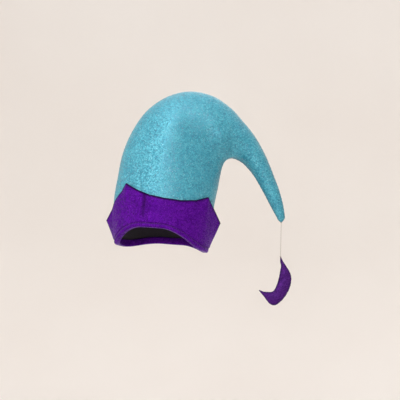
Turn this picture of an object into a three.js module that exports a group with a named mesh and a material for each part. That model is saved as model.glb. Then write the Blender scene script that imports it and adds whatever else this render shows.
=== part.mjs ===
// A single-horned jester hat of foam-backed glitter cloth, with a turned-up cuff and a hanging crescent.
// Millimetres, +Z up. The origin is the centre of the head opening, level with the middle of the hem's
// two side corners. The wearer looks towards -Y, and the horn curls over to +X.
import * as THREE from 'three';

// Driving dimensions of the crown
const openingWidth = 193; // outside of the crown at the hem, side to side
const openingDepth = 184; // the same, front to back
const crownHeight = 355; // top of the crown above the head opening
const crotchHeight = 208; // top of the arch under the horn
const hornReach = 267; // outer edge of the horn's end, sideways from the head's centre
const tipHeight = 78; // level of the horn's last full section
const tipRound = 11; // how far the rounded tip goes on past that section
const bendStart = 150; // below this height the crown's sections are level
const foamWall = 4; // foam-backed cloth
const seamRidge = 0.12; // how far the two panels pinch towards the seam that joins them
const seamHold = 2; // how quickly a dent gets its full depth away from the seam

// Driving dimensions of the hem and the cuff
const frontArch = 34; // rise of the hem over the face
const backArch = 18; // rise of the hem over the nape
const hemTilt = 5; // how far the hem's corner at -X stands above the origin, and that at +X below it
const archTurn = -11; // degrees from the front to the middle of the front arch
const archFlat = 12; // degrees either side of that middle that stay level
const archSpan = 76; // degrees either side of that middle where the rise ends
const cuffPeak = 129; // the highest corner of the turned-up edge above the origin
const cuffWall = 4;
const cuffFlare = 16; // how far the cuff's side corners stand off the crown
const lipWall = 2.4; // the cuff's turned-in edge, inside the crown
const lipHeight = 14;
const hemRound = 2.6; // rounding of the fold under the crown's edge

// Driving dimensions of the thread and the crescent
const threadDiameter = 1;
const threadLength = 75;
const crescentHeight = 105;
const crescentWidth = 69;
const crescentThickness = 13;
const crescentFull = 0.8; // 1 gives round sections, less gives fuller ones

// Clearances between pieces
const clearance = 0.4;
const seatClearance = 0.6; // between the crown's edge and the fold that it stands in

// Fineness of the meshes
const crownSides = 48;
const stepsPerRow = 2;
const tipRings = 4;
const tipTaper = 0.2; // how much faster than a round one the tip closes
const cuffStep = 5; // degrees
const cuffLevels = 5;
const crescentSides = 12;
const threadSides = 8;
const threadStep = 3;

// The crown's sections, from the hem to the end of the horn. Each runs from a point on the outer
// edge to a point on the inner edge. across: share of the way from the opening's own side to the
// horn's reach. rise: share of the crown's height, or of the arch's. drop: share of the fall from
// there to the tip. deep: half the section's depth, as a share of the opening's depth.
const crownRows = [
  { outAcross: 0.0, outRise: 0.0, outDrop: 0, inAcross: 0.0, inRise: 0.0, inDrop: 0, deep: 0.5 },
  { outAcross: -0.024, outRise: 0.14, outDrop: 0, inAcross: 0.05, inRise: 0.24, inDrop: 0, deep: 0.493 },
  { outAcross: -0.036, outRise: 0.28, outDrop: 0, inAcross: 0.085, inRise: 0.48, inDrop: 0, deep: 0.468 },
  { outAcross: -0.022, outRise: 0.42, outDrop: 0, inAcross: 0.13, inRise: 0.72, inDrop: 0, deep: 0.435 },
  { outAcross: 0.0, outRise: 0.575, outDrop: 0, inAcross: 0.15, inRise: 0.82, inDrop: 0, deep: 0.41 },
  { outAcross: 0.05, outRise: 0.725, outDrop: 0, inAcross: 0.17, inRise: 0.9, inDrop: 0, deep: 0.388 },
  { outAcross: 0.135, outRise: 0.865, outDrop: 0, inAcross: 0.19, inRise: 0.95, inDrop: 0, deep: 0.365 },
  { outAcross: 0.25, outRise: 0.96, outDrop: 0, inAcross: 0.215, inRise: 0.98, inDrop: 0, deep: 0.34 },
  { outAcross: 0.39, outRise: 1.0, outDrop: 0, inAcross: 0.245, inRise: 0.996, inDrop: 0, deep: 0.31 },
  { outAcross: 0.527, outRise: 1.0, outDrop: 0.025, inAcross: 0.28, inRise: 1.0, inDrop: 0, deep: 0.275 },
  { outAcross: 0.642, outRise: 1.0, outDrop: 0.115, inAcross: 0.315, inRise: 1.0, inDrop: 0.006, deep: 0.24 },
  { outAcross: 0.733, outRise: 1.0, outDrop: 0.237, inAcross: 0.357, inRise: 1.0, inDrop: 0.025, deep: 0.206 },
  { outAcross: 0.805, outRise: 1.0, outDrop: 0.352, inAcross: 0.41, inRise: 1.0, inDrop: 0.062, deep: 0.175 },
  { outAcross: 0.855, outRise: 1.0, outDrop: 0.463, inAcross: 0.48, inRise: 1.0, inDrop: 0.135, deep: 0.147 },
  { outAcross: 0.897, outRise: 1.0, outDrop: 0.577, inAcross: 0.57, inRise: 1.0, inDrop: 0.275, deep: 0.122 },
  { outAcross: 0.934, outRise: 1.0, outDrop: 0.692, inAcross: 0.665, inRise: 1.0, inDrop: 0.468, deep: 0.101 },
  { outAcross: 0.963, outRise: 1.0, outDrop: 0.789, inAcross: 0.747, inRise: 1.0, inDrop: 0.662, deep: 0.083 },
  { outAcross: 0.986, outRise: 1.0, outDrop: 0.889, inAcross: 0.822, inRise: 1.0, inDrop: 0.84, deep: 0.066 },
  { outAcross: 1.0, outRise: 1.0, outDrop: 0.995, inAcross: 0.893, inRise: 1.0, inDrop: 1.0, deep: 0.046 },
];
const levelRows = 3; // the rows up to bendStart, evenly spaced in height
const hollowEnd = 16.4; // the row at which the horn's hollow closes

// Soft dents of the front and back panels. across and up run from the start to the end of the dent,
// as shares of the horn's reach and the crown's height. sunk and wide are shares of the foam wall
// and of the crown's height. back is how much of it the back panel has.
const crownDents = [
  { fromAcross: 0.17, fromUp: 0.84, toAcross: 0.3, toUp: 0.62, sunk: 1.3, wide: 0.07, back: 0.5 },
  { fromAcross: 0.3, fromUp: 0.62, toAcross: 0.37, toUp: 0.5, sunk: 1.1, wide: 0.06, back: 0.5 },
];

// The cuff's free edge, round the head. turn: degrees from the front, positive to the wearer's left
// hand, +X. top: height as a share of the peak. flare: stand-off from the crown as a share of
// cuffFlare. flat: 1 where the stretch up to the next row is a straight panel, 0 where it is round.
const cuffRows = [
  { turn: -90, top: 0.44, flare: 0.9, flat: 1 },
  { turn: -42, top: 1.0, flare: 0.45, flat: 0 },
  { turn: -28, top: 0.89, flare: 0.3, flat: 0 },
  { turn: -14, top: 0.805, flare: 0.15, flat: 0 },
  { turn: 2, top: 0.757, flare: 0.08, flat: 0 },
  { turn: 20, top: 0.735, flare: 0.06, flat: 0 },
  { turn: 38, top: 0.76, flare: 0.1, flat: 0 },
  { turn: 54, top: 0.84, flare: 0.2, flat: 1 },
  { turn: 90, top: 0.47, flare: 1.0, flat: 1 },
  { turn: 126, top: 0.84, flare: 0.25, flat: 0 },
  { turn: 152, top: 0.77, flare: 0.1, flat: 0 },
  { turn: 180, top: 0.75, flare: 0.08, flat: 0 },
  { turn: 206, top: 0.81, flare: 0.2, flat: 0 },
  { turn: 222, top: 0.94, flare: 0.4, flat: 1 },
  { turn: 270, top: 0.44, flare: 0.9, flat: 0 },
];

// The crescent, from its upper tip to its lower one, each row across from the outer edge to the
// inner edge. Side and down are shares of its width and height, and thick is a share of its thickness.
const crescentRows = [
  { outSide: 0.085, outDown: 0.085, inSide: -0.01, inDown: 0.095, thick: 0.6 },
  { outSide: 0.22, outDown: 0.2, inSide: 0.015, inDown: 0.195, thick: 0.85 },
  { outSide: 0.335, outDown: 0.325, inSide: 0.0, inDown: 0.315, thick: 1.0 },
  { outSide: 0.38, outDown: 0.45, inSide: -0.03, inDown: 0.435, thick: 1.0 },
  { outSide: 0.355, outDown: 0.595, inSide: -0.065, inDown: 0.54, thick: 1.0 },
  { outSide: 0.26, outDown: 0.755, inSide: -0.11, inDown: 0.63, thick: 1.0 },
  { outSide: 0.1, outDown: 0.905, inSide: -0.16, inDown: 0.695, thick: 1.0 },
  { outSide: -0.1, outDown: 1.0, inSide: -0.24, inDown: 0.725, thick: 1.0 },
  { outSide: -0.29, outDown: 0.96, inSide: -0.36, inDown: 0.73, thick: 0.85 },
  { outSide: -0.45, outDown: 0.84, inSide: -0.48, inDown: 0.73, thick: 0.6 },
];
const crescentEnd = { side: -0.62, down: 0.715 };

// Materials, in the colours of glitter cloth
const turquoiseGlitter = new THREE.MeshStandardMaterial({ color: 0x62aec8, roughness: 0.55, metalness: 0.25 });
const purpleGlitter = new THREE.MeshStandardMaterial({ color: 0x5c1f97, roughness: 0.55, metalness: 0.25 });
const violetFelt = new THREE.MeshStandardMaterial({ color: 0x4b2569, roughness: 0.8, metalness: 0.05 });
const paleThread = new THREE.MeshStandardMaterial({ color: 0xcfc8c0, roughness: 0.7, metalness: 0 });

// The value of one column at place u of a table, on a smooth curve through its rows.
function smooth(rows, column, u) {
  const last = rows.length - 1;
  const i = Math.min(Math.floor(u), last - 1);
  const at = (k) => {
    if (k < 0) return 2 * rows[0][column] - rows[1][column];
    if (k > last) return 2 * rows[last][column] - rows[last - 1][column];
    return rows[k][column];
  };
  const [a, b, c, d] = [at(i - 1), at(i), at(i + 1), at(i + 2)];
  const t = u - i;
  return b + 0.5 * t * (c - a + t * (2 * a - 5 * b + 4 * c - d + t * (3 * (b - c) + d - a)));
}

// A closed surface over rings that hold the same number of points. Each end closes on one point,
// or, with no end points, the last ring joins the first.
function skin(rings, ends) {
  const sides = rings[0].length;
  const points = rings.flat();
  const triangles = [];
  const band = (lower, upper) => {
    for (let k = 0; k < sides; k += 1) {
      const next = (k + 1) % sides;
      const [a, b] = [lower * sides + k, lower * sides + next];
      const [c, d] = [upper * sides + k, upper * sides + next];
      triangles.push(a, b, d, a, d, c);
    }
  };
  for (let i = 0; i + 1 < rings.length; i += 1) band(i, i + 1);
  if (ends) {
    const [first, last] = [points.push(ends[0]) - 1, points.push(ends[1]) - 1];
    const top = (rings.length - 1) * sides;
    for (let k = 0; k < sides; k += 1) {
      const next = (k + 1) % sides;
      triangles.push(first, next, k);
      triangles.push(last, top + k, top + next);
    }
  } else {
    band(rings.length - 1, 0);
  }
  const geometry = new THREE.BufferGeometry().setFromPoints(points);
  geometry.setIndex(triangles);
  geometry.computeVertexNormals();
  return geometry;
}

// Height of the hem at an angle round the head, in degrees from the front.
function hemHeight(turn) {
  const fade = (away) => 1 - THREE.MathUtils.smoothstep(away, archFlat, archSpan);
  const apart = Math.abs(THREE.MathUtils.euclideanModulo(turn - archTurn + 180, 360) - 180);
  const tilt = -hemTilt * Math.sin(THREE.MathUtils.degToRad(turn));
  return frontArch * fade(apart) + backArch * fade(180 - apart) + tilt;
}

// One section of the crown at place u of its table: the two edge points and half the depth.
function crownSection(u) {
  const half = openingWidth / 2;
  const get = (column) => smooth(crownRows, column, u);
  const levels = u < levelRows ? (u / levelRows) * bendStart : null;
  const outHeight = get('outRise') * crownHeight - get('outDrop') * (crownHeight - tipHeight);
  const inHeight = get('inRise') * crotchHeight - get('inDrop') * (crotchHeight - tipHeight);
  return {
    outer: new THREE.Vector3(get('outAcross') * (hornReach + half) - half, 0, levels ?? outHeight),
    inner: new THREE.Vector3(get('inAcross') * (hornReach - half) + half, 0, levels ?? inHeight),
    depth: get('deep') * openingDepth,
    pinch: 1 + seamRidge * THREE.MathUtils.smoothstep(u, levelRows, 2 * levelRows),
  };
}

// How far a point of the crown's panel is pushed in by the dents.
function dentAt(point) {
  let sunk = 0;
  for (const dent of crownDents) {
    const from = new THREE.Vector3(dent.fromAcross * hornReach, 0, dent.fromUp * crownHeight);
    const to = new THREE.Vector3(dent.toAcross * hornReach, 0, dent.toUp * crownHeight);
    const flat = new THREE.Vector3(point.x, 0, point.z);
    const near = new THREE.Line3(from, to).closestPointToPoint(flat, true, new THREE.Vector3());
    const away = near.distanceTo(flat) / (dent.wide * crownHeight);
    const share = point.y < 0 ? 1 : dent.back;
    sunk = Math.max(sunk, share * dent.sunk * foamWall * Math.exp(-away * away));
  }
  return sunk;
}

// A point of the crown: u runs along the table, turn goes round the section in degrees from the
// front, and inset is the wall's thickness for the inside face.
function crownPoint(u, turn, inset) {
  const around = THREE.MathUtils.degToRad(turn);
  const { outer, inner, depth, pinch } = crownSection(u);
  const middle = outer.clone().add(inner).multiplyScalar(0.5);
  const reach = inner.clone().sub(outer).multiplyScalar(0.5);
  const halfWidth = reach.length();
  const width = (halfWidth - inset) * Math.sin(around);
  const rise = Math.abs(Math.cos(around)) ** pinch;
  const point = middle.addScaledVector(reach.normalize(), width);
  point.y = -(depth - inset) * Math.sign(Math.cos(around)) * rise;
  point.y -= Math.sign(point.y) * dentAt(point) * Math.min(1, rise * seamHold);
  return point;
}

// Place in the table of a height near the hem, where the rows are level.
const rowAtHeight = (height) => (height / bendStart) * levelRows;

// One ring of the crown. Rings below bendStart close up over the arched hem.
function crownRing(u, inset) {
  const ring = [];
  for (let k = 0; k < crownSides; k += 1) {
    const turn = (k * 360) / crownSides;
    const hem = rowAtHeight(hemHeight(turn) + cuffWall + seatClearance);
    const place = u < levelRows ? hem + (levelRows - hem) * (u / levelRows) : u;
    ring.push(crownPoint(place, turn, inset));
  }
  return ring;
}

// Middle of the crown's last full section, and the direction in which the tip goes on.
function hornEnd() {
  const { outer, inner, depth } = crownSection(crownRows.length - 1);
  const across = outer.clone().sub(inner).normalize();
  return {
    middle: outer.clone().add(inner).multiplyScalar(0.5),
    onward: new THREE.Vector3(across.z, 0, -across.x),
    depth,
  };
}

// Lowest point of the tip, where the thread comes out.
function tipPoint() {
  const { middle, onward } = hornEnd();
  return middle.addScaledVector(onward, tipRound);
}

// Crown: two panels joined along the outer and inner edges, one hollow wall from the hem into the horn.
function makeCrown() {
  const lastRow = crownRows.length - 1;
  const rings = [];
  for (let u = Math.floor(hollowEnd); u > levelRows; u -= 1) rings.push(crownRing(u, foamWall));
  for (let i = levelRows * stepsPerRow; i >= 0; i -= 1) rings.push(crownRing(i / stepsPerRow, foamWall));
  for (let i = 0; i <= lastRow * stepsPerRow; i += 1) rings.push(crownRing(i / stepsPerRow, 0));
  const { middle, onward } = hornEnd();
  const endRing = rings[rings.length - 1];
  for (let i = 1; i < tipRings; i += 1) {
    const angle = (i / tipRings) * (Math.PI / 2);
    const size = Math.cos(angle) * (1 - tipTaper * Math.sin(angle));
    const shrunk = endRing.map((p) => p.clone().sub(middle).multiplyScalar(size).add(middle));
    rings.push(shrunk.map((p) => p.addScaledVector(onward, tipRound * Math.sin(angle))));
  }
  const { outer, inner } = crownSection(hollowEnd);
  const hollowTip = outer.clone().add(inner).multiplyScalar(0.5);
  return new THREE.Mesh(skin(rings, [hollowTip, tipPoint()]), turquoiseGlitter);
}

// Direction straight out of the crown's wall at an angle round the head.
function outward(turn) {
  const around = THREE.MathUtils.degToRad(turn);
  return new THREE.Vector3(Math.sin(around) / openingWidth, -Math.cos(around) / openingDepth, 0).normalize();
}

// Point on the crown's outer or inner face at a height, pushed outwards by off.
function besideCrown(turn, height, inset, off) {
  const point = crownPoint(rowAtHeight(height), turn, inset);
  point.addScaledVector(outward(turn), off);
  point.z = height;
  return point;
}

// The same point, moved out where it is nearer to the crown than the clearance.
function clearOfCrown(point) {
  const { outer, inner, depth } = crownSection(rowAtHeight(point.z));
  const middle = outer.add(inner).multiplyScalar(0.5);
  const halfWidth = Math.abs(inner.x - middle.x) + clearance;
  const away = Math.hypot((point.x - middle.x) / halfWidth, point.y / (depth + clearance));
  const push = Math.max(1, 1 / away);
  return new THREE.Vector3(middle.x + (point.x - middle.x) * push, point.y * push, point.z);
}

// Point of the cuff's free edge, on its inner face, at the share between row i and the next.
function cuffEdge(i, share) {
  const ends = [cuffRows[i], cuffRows[i + 1]];
  const at = (turn, top, flare) => besideCrown(turn, top * cuffPeak, 0, clearance + flare * cuffFlare);
  const mixed = (column) => THREE.MathUtils.lerp(ends[0][column], ends[1][column], share);
  const [from, to] = ends.map((row) => at(row.turn, row.top, row.flare));
  const round = at(mixed('turn'), mixed('top'), mixed('flare'));
  return round.lerp(from.lerp(to, share), ends[0].flat);
}

// One section of the cuff: up the outer face, over the free edge, down the inner face, under the
// crown's edge, up and down the turned-in lip, and round the fold.
function cuffSection(i, share) {
  const turn = THREE.MathUtils.lerp(cuffRows[i].turn, cuffRows[i + 1].turn, share);
  const low = hemHeight(turn);
  const seat = low + cuffWall;
  const edgePoint = cuffEdge(i, share);
  const high = edgePoint.z;
  const foot = besideCrown(turn, seat, 0, clearance);
  const points = [];
  const wall = (height, off) => {
    const up = Math.max(0, (height - seat) / (high - seat));
    const face = clearOfCrown(foot.clone().lerp(edgePoint, up));
    face.z = height;
    points.push(face.addScaledVector(outward(turn), off));
  };
  const lip = (height, off) => points.push(besideCrown(turn, height, foamWall, -clearance - off));
  const edge = cuffWall / 4;
  wall(low + hemRound, cuffWall);
  for (let k = 1; k < cuffLevels; k += 1) wall(low + ((high - low) * k) / cuffLevels, cuffWall);
  wall(high - edge, cuffWall);
  wall(high, cuffWall / 2);
  wall(high - edge, 0);
  for (let k = cuffLevels - 1; k > 0; k -= 1) wall(seat + ((high - seat) * k) / cuffLevels, 0);
  wall(seat, 0);
  lip(seat, 0);
  lip(low + lipHeight, 0);
  lip(low + lipHeight + lipWall / 2, lipWall / 2);
  lip(low + lipHeight, lipWall);
  lip(low + hemRound, lipWall);
  lip(low, lipWall - hemRound);
  wall(low, cuffWall - hemRound);
  return points.reverse();
}

// Cuff: one band turned up round the hem, with a peaked free edge and a corner at each side.
function makeCuff() {
  const rings = [];
  for (let i = 0; i + 1 < cuffRows.length; i += 1) {
    const steps = Math.round((cuffRows[i + 1].turn - cuffRows[i].turn) / cuffStep);
    for (let k = 0; k < steps; k += 1) rings.push(cuffSection(i, k / steps));
  }
  return new THREE.Mesh(skin(rings), purpleGlitter);
}

// The thread's way down from the tip, as shares of its length.
const threadWay = [0, 0.05, 0.1, 0.17, 0.24, 0.31, 0.38, 0.45, 0.52, 0.59, 0.66, 0.73, 0.8, 0.87, 0.94, 1];

// Thread: hangs straight under the crescent's weight.
function makeThread() {
  const start = tipPoint();
  start.z -= clearance;
  const way = threadWay.map((share) => new THREE.Vector3(start.x, 0, start.z - share * threadLength));
  const round = new THREE.Shape();
  for (let k = 0; k < threadSides; k += 1) {
    const angle = (k / threadSides) * 2 * Math.PI;
    const corner = [(Math.cos(angle) * threadDiameter) / 2, (Math.sin(angle) * threadDiameter) / 2];
    if (k === 0) round.moveTo(...corner);
    else round.lineTo(...corner);
  }
  const path = new THREE.CatmullRomCurve3(way);
  const steps = Math.round(threadLength / threadStep);
  return new THREE.Mesh(new THREE.ExtrudeGeometry(round, { steps, extrudePath: path }), paleThread);
}

// One ring of the crescent at place u of its table, relative to its upper tip.
function crescentRing(u) {
  const get = (column) => smooth(crescentRows, column, u);
  const outer = new THREE.Vector3(get('outSide') * crescentWidth, 0, -get('outDown') * crescentHeight);
  const inner = new THREE.Vector3(get('inSide') * crescentWidth, 0, -get('inDown') * crescentHeight);
  const middle = outer.clone().add(inner).multiplyScalar(0.5);
  const reach = outer.clone().sub(inner).multiplyScalar(0.5);
  const half = (get('thick') * crescentThickness) / 2;
  const ring = [];
  for (let k = 0; k < crescentSides; k += 1) {
    const around = (k / crescentSides) * 2 * Math.PI;
    const soft = (value) => Math.sign(value) * Math.abs(value) ** crescentFull;
    const point = middle.clone().addScaledVector(reach, soft(Math.cos(around)));
    point.y = -half * soft(Math.sin(around));
    ring.push(point);
  }
  return ring;
}

// Middle of a closed surface's volume.
function centreOf(geometry) {
  const position = geometry.getAttribute('position');
  const corner = (k) => new THREE.Vector3().fromBufferAttribute(position, geometry.index.getX(k));
  const centre = new THREE.Vector3();
  let volume = 0;
  for (let k = 0; k < geometry.index.count; k += 3) {
    const [a, b, c] = [corner(k), corner(k + 1), corner(k + 2)];
    const part = a.dot(b.clone().cross(c)) / 6;
    volume += part;
    centre.addScaledVector(a.add(b).add(c), part / 4);
  }
  return centre.divideScalar(volume);
}

// Crescent: padded, hung by its upper tip, turned until its weight is right below the thread.
function makeCrescent() {
  const rings = [];
  const last = crescentRows.length - 1;
  for (let i = 0; i <= last * stepsPerRow; i += 1) rings.push(crescentRing(i / stepsPerRow));
  const end = new THREE.Vector3(crescentEnd.side * crescentWidth, 0, -crescentEnd.down * crescentHeight);
  const geometry = skin(rings, [new THREE.Vector3(), end]);
  const centre = centreOf(geometry);
  geometry.rotateY(Math.atan2(centre.x, -centre.z));
  const mesh = new THREE.Mesh(geometry, violetFelt);
  mesh.position.copy(tipPoint());
  mesh.position.z -= threadLength + 2 * clearance;
  return mesh;
}

function named(mesh, name) {
  mesh.name = name;
  return mesh;
}

const hat = new THREE.Group();
hat.add(named(makeCrown(), 'crown'));
hat.add(named(makeCuff(), 'cuff'));
hat.add(named(makeThread(), 'thread'));
hat.add(named(makeCrescent(), 'crescent'));

export default hat;
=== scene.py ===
import math

import bpy
import numpy as np
from mathutils import Matrix, Vector, noise


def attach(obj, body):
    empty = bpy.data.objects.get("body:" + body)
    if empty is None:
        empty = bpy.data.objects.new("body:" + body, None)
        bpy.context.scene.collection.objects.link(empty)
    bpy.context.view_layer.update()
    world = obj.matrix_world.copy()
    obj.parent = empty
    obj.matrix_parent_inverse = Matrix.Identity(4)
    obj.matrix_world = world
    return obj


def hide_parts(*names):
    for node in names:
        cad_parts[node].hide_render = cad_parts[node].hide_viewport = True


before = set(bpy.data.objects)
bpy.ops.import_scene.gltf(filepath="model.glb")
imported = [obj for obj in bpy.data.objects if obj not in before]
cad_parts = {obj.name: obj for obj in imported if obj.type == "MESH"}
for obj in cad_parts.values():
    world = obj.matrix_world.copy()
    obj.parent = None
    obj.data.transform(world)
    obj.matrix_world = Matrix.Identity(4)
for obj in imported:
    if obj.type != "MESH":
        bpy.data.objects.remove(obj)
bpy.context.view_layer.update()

MM = 0.001
FULL_TURN = 2 * math.pi
QUARTER_TURN = math.pi / 2
NO_LENGTH = 1e-12


def rows_of(columns, rows):
    """The rows of a table, each with its values by the columns' names."""
    return [dict(zip(columns.split(), row)) for row in rows]


def columns_of(columns, rows):
    """The columns of a table by their names."""
    return dict(zip(columns.split(), zip(*rows)))


# The picture: its side in pixels, and the lens length in the same pixels
PICTURE_SIDE = 400
LENS_PIXELS = 636
SENSOR = 36
CAMERA_PLACE = (0.079, -1.383, -0.109)
CAMERA_AIM = (0.079, 0, 0.110)
CAMERA_ROLL = math.radians(2.24)
SEEN_FROM = 0.05
SEEN_TO = 50

# Soft lamps round the hat, in metres and watts, with the angle in degrees that each one lights
LAMPS = rows_of("name place aim width height power tint spread", [
    ("window_light", (-0.4, -1.98, 0.95), (0.02, 0, 0.15), 0.6, 1.7, 8, (1, 0.99, 0.975), 120),
    ("high_light", (-0.7, -1.15, 1.75), (0, 0, 0.3), 0.6, 0.9, 3.9, (1, 0.99, 0.975), 120),
    ("side_light", (-1.9, -0.55, 0.5), (0, 0, 0.15), 1.2, 1.2, 4.6, (1, 0.985, 0.97), 180),
    ("back_light", (0.3, 1.7, 1.5), (0.08, 0, 0.15), 1.1, 1.1, 4, (1, 0.98, 0.96), 180),
])
SKY_TINT = (1, 0.985, 0.97, 1)
SKY_STRENGTH = 1.21

# The round floor, in metres: the radii of its flat rings, then the curve and the heights of the wall
FLOOR_LEVEL = -0.62
FLOOR_RINGS = (0.02, 0.6, 1.2, 1.9)
WALL_CURVE = 0.9
WALL_CURVE_STEPS = 16
WALL_HEIGHTS = (1.2, 2.2, 3.4)
ROOM_SIDES = 96

# The crown
OPENING_WIDTH = 193 * MM
OPENING_DEPTH = 184 * MM
CROWN_HEIGHT = 355 * MM
CROTCH_HEIGHT = 208 * MM
HORN_REACH = 267 * MM
TIP_HEIGHT = 78 * MM
TIP_ROUND = 11 * MM
TIP_TAPER = 0.2
BEND_START = 150 * MM
FOAM_WALL = 4 * MM
# How far the panels pinch towards their seams, and how soon beside a seam a dent is at its full depth
SEAM_RIDGE = 0.12
SEAM_HOLD = 2
# The rows of the crown's table below which the sections lie level, and at which the hollow ends
LEVEL_ROWS = 3
HOLLOW_END = 16.4

# The hem and the cuff; turns are in degrees round the head from the front
FRONT_ARCH = 34 * MM
BACK_ARCH = 18 * MM
HEM_TILT = 5 * MM
ARCH_TURN = -11
ARCH_FLAT = 12
ARCH_SPAN = 76
CUFF_PEAK = 129 * MM
CUFF_WALL = 4 * MM
CUFF_FLARE = 16 * MM
EDGE_ROUND = CUFF_WALL / 2.6
LIP_WALL = 2.4 * MM
LIP_HEIGHT = 14 * MM
HEM_ROUND = 2.6 * MM
HEM_BAND = 17 * MM
CLEARANCE = 0.4 * MM
SEAT_CLEARANCE = 0.6 * MM

# The thread and the crescent
THREAD_DIAMETER = 1 * MM
THREAD_LENGTH = 75 * MM
CRESCENT_HEIGHT = 105 * MM
CRESCENT_WIDTH = 69 * MM
CRESCENT_THICKNESS = 13 * MM
CRESCENT_FULL = 0.8

# The crown's sections, from the hem to the end of the horn
CROWN = columns_of("outAcross outRise outDrop inAcross inRise inDrop deep", [
    (0.0, 0.0, 0, 0.0, 0.0, 0, 0.5),
    (-0.024, 0.14, 0, 0.05, 0.24, 0, 0.493),
    (-0.036, 0.28, 0, 0.085, 0.48, 0, 0.468),
    (-0.022, 0.42, 0, 0.13, 0.72, 0, 0.435),
    (0.0, 0.575, 0, 0.15, 0.82, 0, 0.41),
    (0.05, 0.725, 0, 0.17, 0.9, 0, 0.388),
    (0.135, 0.865, 0, 0.19, 0.95, 0, 0.365),
    (0.25, 0.96, 0, 0.215, 0.98, 0, 0.34),
    (0.39, 1.0, 0, 0.245, 0.996, 0, 0.31),
    (0.527, 1.0, 0.025, 0.28, 1.0, 0, 0.275),
    (0.642, 1.0, 0.115, 0.315, 1.0, 0.006, 0.24),
    (0.733, 1.0, 0.237, 0.357, 1.0, 0.025, 0.206),
    (0.805, 1.0, 0.352, 0.41, 1.0, 0.062, 0.175),
    (0.855, 1.0, 0.463, 0.48, 1.0, 0.135, 0.147),
    (0.897, 1.0, 0.577, 0.57, 1.0, 0.275, 0.122),
    (0.934, 1.0, 0.692, 0.665, 1.0, 0.468, 0.101),
    (0.963, 1.0, 0.789, 0.747, 1.0, 0.662, 0.083),
    (0.986, 1.0, 0.889, 0.822, 1.0, 0.84, 0.066),
    (1.0, 1.0, 0.995, 0.893, 1.0, 1.0, 0.046),
])
CROWN_LAST = len(CROWN["deep"]) - 1

# Soft dents of the panels: from and to in shares of the reach and the height, sunk in shares of the
# foam wall, wide in shares of the height, and how much of it the back panel has
CROWN_DENTS = rows_of("fromAcross fromUp toAcross toUp sunk wide back", [
    (0.17, 0.84, 0.3, 0.62, 1.3, 0.07, 0.5),
    (0.3, 0.62, 0.37, 0.5, 1.1, 0.06, 0.5),
])

# Smaller folds that the cloth shows: each runs from one place to another as seen from the front, in
# millimetres, and stands out by rise, wholly or by a share on the front and the back panel
CROWN_FOLDS = rows_of("x0 z0 x1 z1 rise wide front back", [
    (40, 314, 17, 267, 1.5, 24, 1, 0.4),
    (17, 267, 5, 215, 1.8, 23, 1, 0.4),
    (5, 215, -6, 130, 1.6, 24, 1, 0.3),
    (46, 304, 62, 262, 3.8, 24, 1, 0.3),
    (-44, 250, -66, 160, -1.4, 20, 1, 0.6),
    (52, 250, 62, 170, -1.6, 18, 1, 0.3),
    (107, 264, 119, 238, 2.8, 16, 1, 0.3),
    (121, 237, 132, 211, 8.0, 18, 1, 0.4),
    (90, 234, 102, 204, -1.0, 12, 1, 0.3),
    (78, 150, 92, 118, -1.0, 18, 1, 0.3),
    (122, 232, 142, 252, -0.9, 8, 1, 0.9),
    (150, 226, 176, 236, -0.8, 9, 1, 0.9),
    (196, 200, 232, 214, 0.8, 12, 1, 0.8),
    (212, 160, 246, 160, -0.6, 12, 1, 0.8),
    (-20, 330, 20, 340, -0.8, 10, 1, 0.8),
    (-34, 296, -50, 190, 1.7, 20, 0, 1),
    (-8, 262, -14, 150, -1.8, 18, 0, 1),
    (70, 286, 34, 196, 1.6, 22, 0, 1),
    (96, 232, 124, 214, 1.8, 12, 0, 1),
])

# The cuff's free edge, round the head: flat is 1 where the stretch to the next row is straight
CUFF_ROWS = rows_of("turn top flare flat", [
    (-90, 0.44, 0.9, 1),
    (-42, 1.0, 0.45, 0),
    (-28, 0.89, 0.3, 0),
    (-14, 0.805, 0.15, 0),
    (2, 0.757, 0.08, 0),
    (20, 0.735, 0.06, 0),
    (38, 0.76, 0.1, 0),
    (54, 0.84, 0.2, 1),
    (90, 0.47, 1.0, 1),
    (126, 0.84, 0.25, 0),
    (152, 0.77, 0.1, 0),
    (180, 0.75, 0.08, 0),
    (206, 0.81, 0.2, 0),
    (222, 0.94, 0.4, 1),
    (270, 0.44, 0.9, 0),
])

# The crescent, from its upper tip to its lower one
CRESCENT = columns_of("outSide outDown inSide inDown thick", [
    (0.085, 0.085, -0.01, 0.095, 0.6),
    (0.22, 0.2, 0.015, 0.195, 0.85),
    (0.335, 0.325, 0.0, 0.315, 1.0),
    (0.38, 0.45, -0.03, 0.435, 1.0),
    (0.355, 0.595, -0.065, 0.54, 1.0),
    (0.26, 0.755, -0.11, 0.63, 1.0),
    (0.1, 0.905, -0.16, 0.695, 1.0),
    (-0.1, 1.0, -0.24, 0.725, 1.0),
    (-0.29, 0.96, -0.36, 0.73, 0.85),
    (-0.45, 0.84, -0.48, 0.73, 0.6),
])
CRESCENT_LAST = len(CRESCENT["thick"]) - 1
CRESCENT_END = (-0.62, 0.715)

# The thread's way down from the tip, as shares of its length
THREAD_WAY = (0, 0.05, 0.1, 0.17, 0.24, 0.31, 0.38, 0.45, 0.52, 0.59, 0.66, 0.73, 0.8, 0.87, 0.94, 1)

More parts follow.
